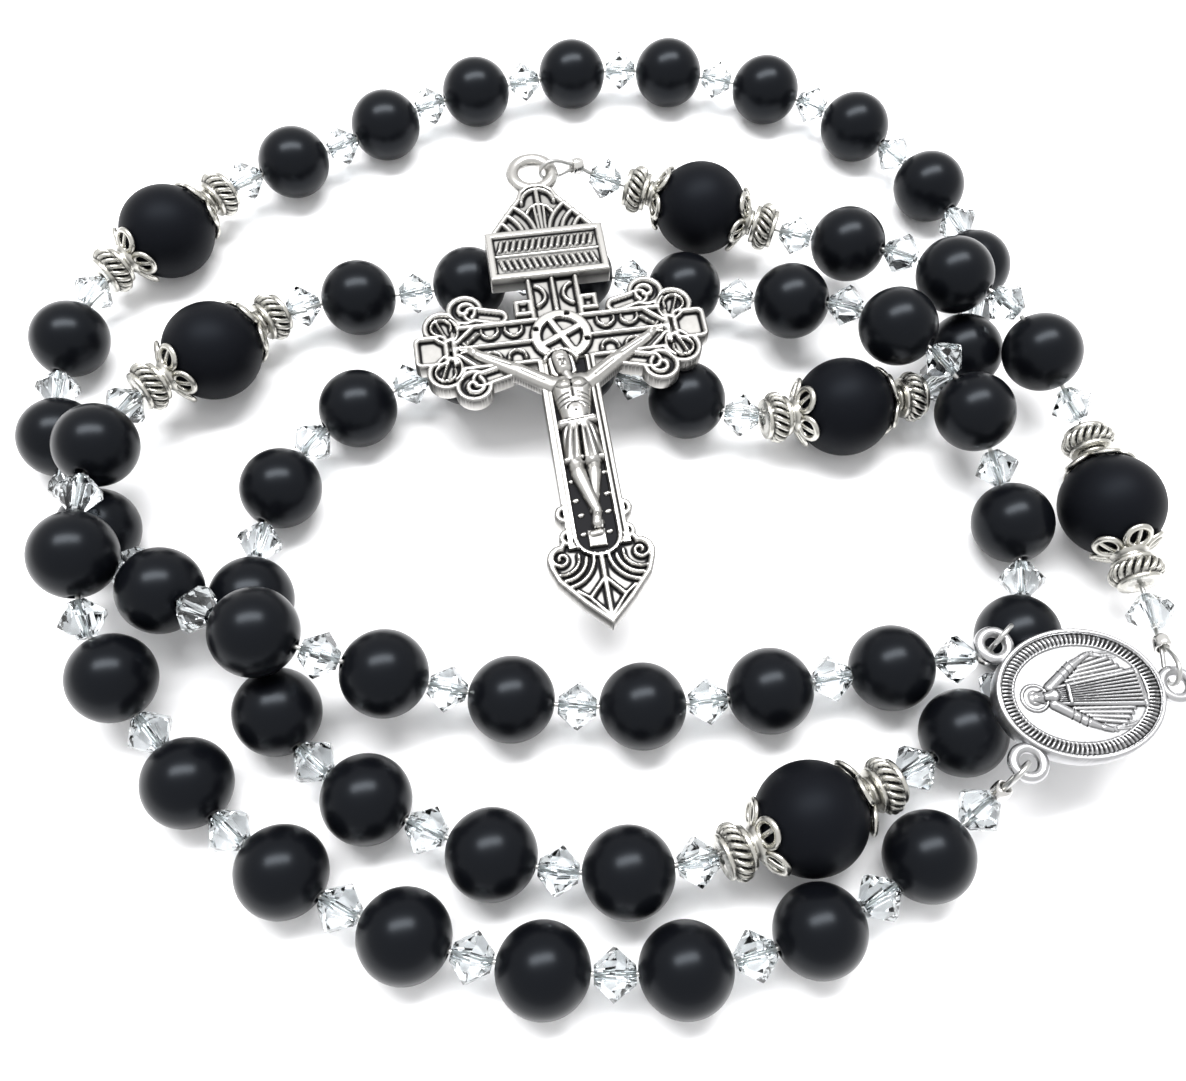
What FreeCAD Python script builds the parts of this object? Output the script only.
"""A five-decade rosary, lying in its open coil on a table.

Black pearl beads and faceted crystal bicones are threaded on two lengths of stainless
beading wire. Each wire ends in an eye, round a ring of the centre medal or of the
crucifix, and runs back into a flattened crimp. The origin is on the table, under the
middle of the coil. X is to the right and Y runs away from the viewer.
"""
import FreeCAD
import Part
import math
import os

V = FreeCAD.Vector
UP = V(0, 0, 1)

# Wire and crimps
WIRE_DIAMETER = 0.45
ARC_SHARE = 0.45          # how much of its shorter run a corner's arc takes
EYE_CORNER = 1.4          # corner distance of an eye from the ring stock it goes round
CRIMP_LENGTH = 1.2
CRIMP_WIDTH = 2.05
CRIMP_HEIGHT = 1.2
LEG_SPREAD = 0.25         # half the distance between the two wires in a crimp

# Beads
PEARL_RADIUS = 4.0
PEARL_BORE = 0.7
END_SLACK = 0.5           # bare wire beside the first and the last pearl of the loop
LARGE_RADIUS = 5.05
LARGE_BORE = 0.7
CRYSTAL_HALF = 1.75
CRYSTAL_RADIUS = 2.2
CRYSTAL_END = 0.85
CRYSTAL_BORE = 0.55
CRYSTAL_SEAT = 1.85       # from a crystal's middle to where the wire may bend
CRYSTAL_SIDES = 8

# Silver findings
SPACER_HALF = 1.27
SPACER_RADIUS = 2.65
SPACER_CORE = 2.15
SPACER_RIBS = 14
SPACER_BORE = 0.7
SPACER_OFFSET = 7.42      # from the middle of a large bead to the middle of a spacer
CAP_GAP = 0.12            # between a large bead and the cap that hugs it
CAP_THICKNESS = 0.5
CAP_PETALS = 5
PETAL_RADIUS = 1.25
PETAL_REACH = 2.55
PETAL_HOLE = 0.55
CAP_NECK_RADIUS = 1.5
CAP_NECK_TOP = 6.08       # from the middle of the large bead
CAP_BORE = 0.65

# Centre medal
MEDAL_LENGTH = 15.2
MEDAL_WIDTH = 12.2
MEDAL_THICKNESS = 1.8
MEDAL_RIM = 0.5
MEDAL_FIELD_DEPTH = 0.25
MEDAL_BEVEL = 0.2
MEDAL_RING_RADIUS = 1.3   # centreline of each cast ring
MEDAL_RING_STOCK = 0.42
MEDAL_PLACE = V(45.5, -27.6, 9.3)
MEDAL_TURN = 10.0
MEDAL_RINGS = {"upper": V(-6.15, 5.4, 0), "lower": V(-6.15, -5.4, 0), "foot": V(9.0, 0, 0)}

# Crucifix, measured from the middle of its top ring
CRUCIFIX_THICKNESS = 1.8
CRUCIFIX_RING_RADIUS = 2.15
CRUCIFIX_RING_STOCK = 0.72
CRUCIFIX_PLACE = V(-7.05, 29.1, 9.45)
CRUCIFIX_TURN = 12.2
PLATE_WIDTH = 12.5
PLATE_TOP = -8.65
PLATE_BOTTOM = -14.95
DISC_MIDDLE = -22.3
ARM_MIDDLE = -22.6
DISC_RADIUS = 3.1
BAR_HALF = 2.8
BAR_REACH = 11.1
SHAFT_HALF = 2.9
SHAFT_BOTTOM = -46.5
FOOT_TIP = -54.2
# Round lobes of one arm's end: out from the middle, up from the arm's middle line, radius
ARM_LOBES = ((9.35, 4.6, 1.9), (11.85, 2.75, 2.0), (11.85, -2.75, 2.0), (9.35, -4.6, 1.9))
ARM_END = (13.15, 1.75, 1.9)     # out from the middle, half its width, half its height
FOOT_LOBES = ((2.7, -42.65, 0.95), (2.75, -45.1, 0.85), (3.6, -47.25, 1.42))

# The loop wire: one point beside each crystal of the five decades, in order
LOOP_ROUTE = [
    (36.1, -38.2, 4.2), (28.5, -45.3, 4.0), (17.8, -50.7, 4.1), (6.1, -52.8, 4.0),
    (-5.8, -52.1, 4.0), (-17.3, -48.8, 4.0), (-27.8, -43.0, 4.2), (-36.4, -34.6, 3.8),
    (-43.7, -26.1, 8.4), (-45.7, -14.3, 11.3), (-46.0, -2.3, 7.1),
    (-30.9, 13.8, 4.6), (-18.8, 16.1, 3.9), (-7.5, 19.8, 4.1), (4.5, 20.3, 4.1),
    (16.3, 17.8, 3.9), (27.3, 15.0, 8.8), (36.6, 7.0, 11.3), (43.0, -1.6, 4.1),
    (44.4, -14.1, 4.2), (41.4, -26.0, 3.8), (32.1, -34.0, 4.8),
    (12.8, -43.7, 5.4), (0.9, -44.9, 4.0), (-10.8, -41.8, 4.0), (-21.8, -36.8, 4.1),
    (-29.0, -27.0, 4.0), (-30.6, -15.0, 4.1), (-27.6, -3.0, 4.2), (-18.2, 4.9, 3.8),
    (-6.5, 8.7, 4.5), (5.5, 7.1, 3.5), (16.4, 1.1, 5.5),
    (37.9, 7.1, 4.6), (43.5, 18.5, 3.8), (42.2, 31.1, 4.2), (35.2, 41.4, 4.0),
    (25.7, 49.0, 4.0), (13.8, 52.0, 4.0), (1.8, 52.8, 4.0), (-9.8, 49.5, 4.0),
    (-20.9, 44.7, 4.1), (-30.0, 36.9, 3.9), (-40.1, 30.4, 5.0),
    (-53.7, 13.2, 5.1), (-54.5, 1.0, 3.8), (-50.2, -10.3, 4.2), (-41.5, -19.1, 3.8),
    (-33.0, -25.0, 10.5), (-21.1, -28.5, 9.9), (-10.5, -28.8, 3.9), (1.6, -29.9, 4.1),
    (13.5, -28.6, 4.0), (25.0, -25.4, 4.0), (35.0, -23.0, 4.2),
]
DECADES = 5
CRYSTALS_PER_DECADE = 11

# The pendant: the middles of its six crystals, from the medal to the crucifix
PENDANT_CRYSTALS = [
    V(54.7, -17.9, 6.6), V(50.5, 5.2, 6.3), V(43.1, 14.2, 10.9),
    V(33.1, 21.1, 9.4), V(22.6, 26.1, 5.8), V(1.0, 31.3, 7.2),
]
LARGE_ON_PENDANT = (0, 4)   # the runs that carry a large bead, the others carry a pearl

WIRE_END_GAP = 0.15         # each wire stops this far short of the joint

# The eyes: the direction from the ring's middle to the wire, which way the strand leaves
# along that direction, how steeply it goes down, and the neck from the ring to the crimp
EYE_LOWER = {"away": V(-0.67, -0.74, 0), "towards": 1, "dip": 55, "neck": 1.9}
EYE_UPPER = {"away": V(0.66, 0.75, 0), "towards": -1, "dip": 50, "neck": 1.9}
EYE_FOOT = {"away": V(-0.05, 1.0, 0), "towards": 1, "dip": 15, "neck": 2.4}
EYE_CRUCIFIX = {"away": V(0.905, 0.427, 0), "towards": 1, "dip": 12, "neck": 2.6}


def unit(vector):
    """The same direction, one long."""
    result = V(vector)
    result.normalize()
    return result


def placed(shape, middle, direction):
    """A copy of a piece made along Z, moved to its middle and turned along direction."""
    copy = shape.copy()
    copy.Placement = FreeCAD.Placement(middle, FreeCAD.Rotation(UP, direction))
    return copy


def save(name, solids):
    """Write one node: one solid, or a group of like solids."""
    solids = solids if isinstance(solids, list) else [solids]
    for solid in solids:
        if not solid.isValid() or solid.Volume <= 0:
            raise ValueError(name + " holds a solid that isn't valid")
    shape = solids[0] if len(solids) == 1 else Part.makeCompound(solids)
    shape.exportStep("parts/" + name + ".step")


# Wire routes

def eye_points(ring_middle, ring_radius, eye):
    """Corners of a wire eye round a ring: in through the crimp, round, and out again."""
    away = unit(eye["away"])
    stock = ring_middle + away * ring_radius
    level = away * eye["towards"]
    dip = math.radians(eye["dip"])
    along = level * math.cos(dip) - UP * math.sin(dip)
    across = level * math.sin(dip) + UP * math.cos(dip)
    neck = eye["neck"]
    local = [(neck + CRIMP_LENGTH, LEG_SPREAD), (neck, LEG_SPREAD + 0.05)]
    for step in range(5):
        angle = math.radians(58 + 61 * step)
        local.append((EYE_CORNER * math.cos(angle), EYE_CORNER * math.sin(angle)))
    local += [(neck, -LEG_SPREAD - 0.05), (neck + CRIMP_LENGTH, -LEG_SPREAD)]
    crimp_middle = stock + along * (neck + CRIMP_LENGTH / 2)
    return crimp_middle, along, across, [stock + along * a + across * b for a, b in local]


def corner_arc(before, corner, after):
    """Start, middle and end of the arc that rounds one corner, and its radius."""
    back = before - corner
    forth = after - corner
    trim = ARC_SHARE * min(back.Length, forth.Length)
    half_turn = (math.pi - back.getAngle(forth)) / 2
    radius = trim / math.tan(half_turn)
    back = unit(back)
    forth = unit(forth)
    inward = unit(back + forth)
    middle = corner + inward * (radius / math.cos(half_turn) - radius)
    return corner + back * trim, middle, corner + forth * trim, radius


def wire_tube(name, points):
    """A wire as straight runs joined by tangent arcs, checked against its own length."""
    edges = []
    radii = []
    start = points[0]
    for index in range(1, len(points) - 1):
        first, middle, last, radius = corner_arc(*points[index - 1:index + 2])
        edges.append(Part.LineSegment(start, first).toShape())
        edges.append(Part.Arc(first, middle, last).toShape())
        radii.append(radius)
        start = last
    edges.append(Part.LineSegment(start, points[-1]).toShape())
    path = Part.Wire(edges)
    section = Part.Wire(Part.makeCircle(WIRE_DIAMETER / 2, points[0], points[1] - points[0]))
    tube = path.makePipeShell([section], True, False)
    expected = path.Length * math.pi * (WIRE_DIAMETER / 2) ** 2
    radii_text = " ".join("%.1f" % radius for radius in radii) or "straight"
    print("%s: length %.1f mm, volume %.2f of %.2f mm3" % (name, path.Length, tube.Volume, expected))
    print("  radii " + radii_text)
    return tube


def crystal_on_corner(shape, before, corner, after):
    """A crystal at the middle of a corner's arc, along the wire there."""
    first, middle, last, radius = corner_arc(before, corner, after)
    return placed(shape, middle, last - first)


# Beads

def round_bead(radius, bore):
    """A drilled round bead."""
    ball = Part.makeSphere(radius)
    drill = Part.makeCylinder(bore, 2 * radius + 2, V(0, 0, -radius - 1))
    return ball.cut(drill)


def crystal_bead():
    """A faceted bicone: two blunt pyramids base to base, drilled."""
    rings = []
    for height, radius in ((-CRYSTAL_HALF, CRYSTAL_END), (0, CRYSTAL_RADIUS), (CRYSTAL_HALF, CRYSTAL_END)):
        corners = []
        for side in range(CRYSTAL_SIDES + 1):
            angle = 2 * math.pi * side / CRYSTAL_SIDES
            corners.append(V(radius * math.cos(angle), radius * math.sin(angle), height))
        rings.append(Part.makePolygon(corners))
    body = Part.makeLoft(rings, True, True)
    drill = Part.makeCylinder(CRYSTAL_BORE, 2 * CRYSTAL_HALF + 2, V(0, 0, -CRYSTAL_HALF - 1))
    return body.cut(drill)


# Silver findings

def spacer():
    """A ribbed rondelle between two plain collars."""
    collar = 0.42
    core = Part.makeCylinder(SPACER_CORE, 2 * SPACER_HALF - 2 * collar, V(0, 0, collar - SPACER_HALF))
    body = core
    for end in (-SPACER_HALF, SPACER_HALF - collar):
        body = body.fuse(Part.makeCylinder(SPACER_CORE - 0.15, collar, V(0, 0, end)))
    rib_radius = 0.55
    rib_length = 1.5
    for index in range(SPACER_RIBS):
        angle = 360.0 * index / SPACER_RIBS
        rib = Part.makeCylinder(rib_radius, rib_length, V(0, 0, -rib_length / 2))
        rib.rotate(V(0, 0, 0), V(1, 0, 0), 25)
        rib.translate(V(SPACER_RADIUS - rib_radius, 0, 0))
        rib.rotate(V(0, 0, 0), UP, angle)
        body = body.fuse(rib)
    drill = Part.makeCylinder(SPACER_BORE, 2 * SPACER_HALF + 2, V(0, 0, -SPACER_HALF - 1))
    return body.cut(drill).removeSplitter()


def bead_cap():
    """A pierced five-petal cap, made on +Z of a large bead whose middle is at zero."""
    inner = LARGE_RADIUS + CAP_GAP
    outer = inner + CAP_THICKNESS
    shell = Part.makeSphere(outer).cut(Part.makeSphere(inner))
    stem = Part.makeCylinder(CAP_NECK_RADIUS + 0.3, outer, V(0, 0, 0))
    outline = stem
    holes = []
    for index in range(CAP_PETALS):
        angle = 2 * math.pi * index / CAP_PETALS
        side = V(PETAL_REACH * math.cos(angle), PETAL_REACH * math.sin(angle), 0)
        outline = outline.fuse(Part.makeCylinder(PETAL_RADIUS, outer, side))
        holes.append(Part.makeCylinder(PETAL_HOLE, outer, side))
    cap = shell.common(outline)
    for hole in holes:
        cap = cap.cut(hole)
    neck = Part.makeCylinder(CAP_NECK_RADIUS, CAP_NECK_TOP - inner - 0.2, V(0, 0, inner + 0.2))
    drill = Part.makeCylinder(CAP_BORE, outer + 3, V(0, 0, 0))
    return cap.fuse(neck).cut(drill).removeSplitter()


def crimp():
    """A crimp tube squashed to an oval, with the two wires side by side in its bore."""
    width = CRIMP_WIDTH - CRIMP_HEIGHT
    bore = WIRE_DIAMETER / 2 + 0.03

    def oval(radius, spread, length):
        bar = Part.makeBox(2 * radius, 2 * spread, length, V(-radius, -spread, -length / 2))
        for side in (-spread, spread):
            bar = bar.fuse(Part.makeCylinder(radius, length, V(0, side, -length / 2)))
        return bar

    body = oval(CRIMP_HEIGHT / 2, width / 2, CRIMP_LENGTH)
    return body.cut(oval(bore, LEG_SPREAD + 0.02, CRIMP_LENGTH + 1)).removeSplitter()


def crimp_at(middle, along, across):
    """A crimp over both legs of an eye."""
    turn = FreeCAD.Rotation(along.cross(across) * -1, across, along, "ZYX")
    copy = crimp()
    copy.Placement = FreeCAD.Placement(middle, turn)
    return copy


# Centre medal

def medal_ring_middle(name):
    """The middle of one of the medal's rings, as the medal lies."""
    turn = FreeCAD.Rotation(UP, MEDAL_TURN)
    return MEDAL_PLACE + turn.multVec(MEDAL_RINGS[name])


def oval_disc(length, width, height, bottom):
    """A flat oval disc, long along X."""
    outline = Part.Ellipse(V(0, 0, bottom), length / 2, width / 2).toShape()
    return Part.Face(Part.Wire(outline)).extrude(V(0, 0, height))


def rod(start, end, start_radius, end_radius):
    """A tapered round limb between two points."""
    axis = end - start
    if abs(start_radius - end_radius) < 0.001:
        return Part.makeCylinder(start_radius, axis.Length, start, axis)
    return Part.makeCone(start_radius, end_radius, axis.Length, start, axis)


def trapezoid(x, low_half, high_half, low, high):
    """A section across the figure, wide at its foot and narrow on top."""
    corners = [V(x, -low_half, low), V(x, low_half, low), V(x, high_half, high), V(x, -high_half, high)]
    return Part.makePolygon(corners + corners[:1])


def medal():
    """The oval medal, its three rings, and the robed figure on its face."""
    half = MEDAL_THICKNESS / 2
    body = oval_disc(MEDAL_LENGTH, MEDAL_WIDTH, MEDAL_THICKNESS, -half)
    body = body.makeChamfer(MEDAL_BEVEL, body.Edges)
    field = oval_disc(MEDAL_LENGTH - 4 * MEDAL_RIM, MEDAL_WIDTH - 4 * MEDAL_RIM,
                      MEDAL_FIELD_DEPTH, half - MEDAL_FIELD_DEPTH)
    body = body.cut(field)
    floor = half - MEDAL_FIELD_DEPTH
    robe = Part.makeLoft([
        trapezoid(5.4, 2.5, 1.4, floor - 0.2, half + 0.15),
        trapezoid(-3.0, 0.8, 0.5, floor - 0.2, half + 0.1),
    ], True, True)
    figure = robe.fuse(Part.makeSphere(0.75, V(-3.9, 0, floor)))
    for side in (-1, 1):
        shoulder = V(-2.2, 0.5 * side, floor + 0.1)
        hand = V(1.6, 3.0 * side, floor + 0.1)
        figure = figure.fuse(rod(shoulder, hand, 0.45, 0.3))
    body = body.fuse(figure)
    for middle in MEDAL_RINGS.values():
        body = body.fuse(Part.makeTorus(MEDAL_RING_RADIUS, MEDAL_RING_STOCK, middle))
    body = body.removeSplitter()
    body.Placement = FreeCAD.Placement(MEDAL_PLACE, FreeCAD.Rotation(UP, MEDAL_TURN))
    return body


# Crucifix

def slab(outline, bottom, top):
    """A flat plate from a closed outline of (x, y) corners."""
    corners = [V(x, y, bottom) for x, y in outline]
    face = Part.Face(Part.makePolygon(corners + corners[:1]))
    return face.extrude(V(0, 0, top - bottom))


def mirrored_outline(half_outline):
    """A full outline from its right-hand half, listed from top to bottom."""
    return half_outline + [(-x, y) for x, y in reversed(half_outline) if x > 0]


def crucifix():
    """The cast cross with its ring, title plate, lobed arms, pointed foot and figure."""
    half = CRUCIFIX_THICKNESS / 2
    crest = mirrored_outline([(1.1, -2.15), (2.35, -4.0), (4.3, -6.6), (6.0, -9.0)])
    neck = mirrored_outline([(2.75, -8.0), (2.75, -20.4)])
    top = ARM_MIDDLE + BAR_HALF
    bottom = ARM_MIDDLE - BAR_HALF
    bar = mirrored_outline([(BAR_REACH, top), (BAR_REACH, bottom)])
    foot = mirrored_outline([(3.2, -45.0), (4.95, -47.9), (4.35, -49.5), (2.3, -51.9), (0.0, FOOT_TIP)])
    shaft = mirrored_outline([(SHAFT_HALF, -20.0), (SHAFT_HALF, SHAFT_BOTTOM)])
    body = slab(shaft, -half, half - 0.3)
    for outline in (crest, neck, bar, foot):
        body = body.fuse(slab(outline, -half, half - 0.1))
    plate = mirrored_outline([(PLATE_WIDTH / 2, PLATE_TOP), (PLATE_WIDTH / 2, PLATE_BOTTOM)])
    body = body.fuse(slab(plate, -half, half + 0.3))
    ring = Part.makeTorus(CRUCIFIX_RING_RADIUS, CRUCIFIX_RING_STOCK, V(0, 0, 0))
    body = body.fuse(ring)
    disc = Part.makeCylinder(DISC_RADIUS, 2 * half, V(0, DISC_MIDDLE, -half))
    body = body.fuse(disc)
    depth = 2 * half - 0.1
    out, half_width, half_height = ARM_END
    for side in (-1, 1):
        corner = V(side * out - half_width, ARM_MIDDLE - half_height, -half)
        body = body.fuse(Part.makeBox(2 * half_width, 2 * half_height, depth, corner))
        for x, y, radius in ARM_LOBES:
            body = body.fuse(Part.makeCylinder(radius, depth, V(side * x, ARM_MIDDLE + y, -half)))
        for x, y, radius in FOOT_LOBES:
            body = body.fuse(Part.makeCylinder(radius, depth, V(side * x, y, -half)))
        for up in (-1, 1):
            stem = slab([(side * 5.2, ARM_MIDDLE + up * 2.6), (side * 9.0, ARM_MIDDLE + up * 2.6),
                         (side * 9.0, ARM_MIDDLE + up * 4.9), (side * 5.2, ARM_MIDDLE + up * 4.1)], -half, half - 0.1)
            body = body.fuse(stem)
        notch = Part.makeBox(2.0, 2.0, depth, V(side * 3.35 - 1.0, -19.45, -half))
        body = body.fuse(notch)
    body = body.fuse(corpus(half))
    body = body.removeSplitter()
    body.Placement = FreeCAD.Placement(CRUCIFIX_PLACE, FreeCAD.Rotation(UP, CRUCIFIX_TURN))
    return body


def corpus(face):
    """The figure on the cross: head, torso, arms raised to the bar, and straight legs."""
    chest = V(0, -28.4, face)
    hips = V(0, -33.0, face)
    figure = rod(chest, hips, 1.5, 1.4)
    figure = figure.fuse(Part.makeSphere(1.05, V(-0.45, -25.85, face + 0.37)))
    figure = figure.fuse(rod(hips, V(0.1, -44.0, face), 1.45, 0.7))
    for side in (-1, 1):
        hand = V(side * 9.6, -22.9, face - 0.1)
        figure = figure.fuse(rod(V(side * 1.4, -28.2, face), hand, 0.8, 0.45))
    return figure


# Assembly

def large_bead_set(number, start, end):
    """A large bead in the middle of its run, with a cap and a spacer on each side."""
    name = str(number)
    along = unit(end - start)
    middle = (start + end) * 0.5
    save("large_bead_" + name, placed(round_bead(LARGE_RADIUS, LARGE_BORE), middle, along))
    save("bead_cap_" + name + "a", placed(bead_cap(), middle, along * -1))
    save("bead_cap_" + name + "b", placed(bead_cap(), middle, along))
    offset = along * SPACER_OFFSET
    save("spacers_" + name, [placed(spacer(), middle - offset, along), placed(spacer(), middle + offset, along)])


def make_loop():
    """The closed strand: its wire, crimps, five decades and four large beads."""
    eye_in = eye_points(medal_ring_middle("lower"), MEDAL_RING_RADIUS, EYE_LOWER)
    eye_out = eye_points(medal_ring_middle("upper"), MEDAL_RING_RADIUS, EYE_UPPER)
    route = [V(*point) for point in LOOP_ROUTE]
    points = eye_in[3] + route + list(reversed(eye_out[3]))
    save("loop_wire", wire_tube("loop_wire", points))
    save("loop_crimps", [crimp_at(*eye_in[:3]), crimp_at(*eye_out[:3])])
    lead = len(eye_in[3])
    final = lead + len(route) - 1
    pearl = round_bead(PEARL_RADIUS, PEARL_BORE)
    crystal = crystal_bead()
    for decade in range(DECADES):
        first = lead + decade * CRYSTALS_PER_DECADE
        last = first + CRYSTALS_PER_DECADE - 1
        pearls = []
        crystals = []
        for index in range(first, last + 1):
            if index == lead:
                crystals.append(next_to_crimp(crystal, points[index], points[index - 1]))
            elif index == final:
                crystals.append(next_to_crimp(crystal, points[index], points[index + 1]))
            else:
                crystals.append(crystal_on_corner(crystal, *points[index - 1:index + 2]))
            if index > first:
                pearls.append(pearl_on_run(pearl, points, index, lead, final))
        number = str(decade + 1)
        save("decade_" + number + "_pearls", pearls)
        save("decade_" + number + "_crystals", crystals)
        if decade + 1 < DECADES:
            large_bead_set(decade + 1, points[last], points[last + 1])


def next_to_crimp(shape, corner, crimp_face):
    """A crystal on the straight run between the last pearl and a crimp."""
    along = unit(crimp_face - corner)
    return placed(shape, corner + along * (CRYSTAL_HALF + 0.03), along)


def pearl_on_run(shape, points, index, lead, final):
    """A pearl in the middle of its run, or against the corner at either end of the loop."""
    run = points[index] - points[index - 1]
    seat = unit(run) * (PEARL_RADIUS + END_SLACK)
    if index - 1 == lead:
        return placed(shape, points[index - 1] + seat, run)
    if index == final:
        return placed(shape, points[index] - seat, run)
    return placed(shape, (points[index] + points[index - 1]) * 0.5, run)


def make_pendant():
    """The pendant strand: short wires that follow one another where the strand flexes."""
    eye_in = eye_points(medal_ring_middle("foot"), MEDAL_RING_RADIUS, EYE_FOOT)
    eye_out = eye_points(CRUCIFIX_PLACE, CRUCIFIX_RING_RADIUS, EYE_CRUCIFIX)
    stations = PENDANT_CRYSTALS
    ends = [eye_in[3][-1]] + stations + [eye_out[3][-1]]
    near = []
    far = []
    crystal = crystal_bead()
    for index, middle in enumerate(stations):
        along = unit(unit(middle - ends[index]) + unit(ends[index + 2] - middle))
        near.append(middle - along * CRYSTAL_SEAT)
        far.append(middle + along * CRYSTAL_SEAT)
        save("pendant_crystal_" + str(index + 1), placed(crystal, middle, along))
    last = len(stations) - 1
    routes = [eye_in[3] + [near[0]]]
    routes += [[near[index], far[index], near[index + 1]] for index in range(last)]
    routes[last] += [far[last]] + list(reversed(eye_out[3]))
    for index, points in enumerate(routes):
        if index > 0:
            points[0] = points[0] + unit(points[1] - points[0]) * WIRE_END_GAP
        if index < last:
            points[-1] = points[-1] + unit(points[-2] - points[-1]) * WIRE_END_GAP
        name = "pendant_wire_" + str(index + 1)
        save(name, wire_tube(name, points))
    save("medal_end_crimp", crimp_at(*eye_in[:3]))
    save("crucifix_end_crimp", crimp_at(*eye_out[:3]))
    pearl = round_bead(PEARL_RADIUS, PEARL_BORE)
    large_number = DECADES
    pearl_number = 1
    for index in range(last):
        start = far[index]
        end = near[index + 1]
        if index in LARGE_ON_PENDANT:
            large_bead_set(large_number, start, end)
            large_number += 1
        else:
            save("pendant_pearl_" + str(pearl_number), placed(pearl, (start + end) * 0.5, end - start))
            pearl_number += 1


os.makedirs("parts", exist_ok=True)
make_loop()
make_pendant()
save("centre_medal", medal())
save("crucifix", crucifix())
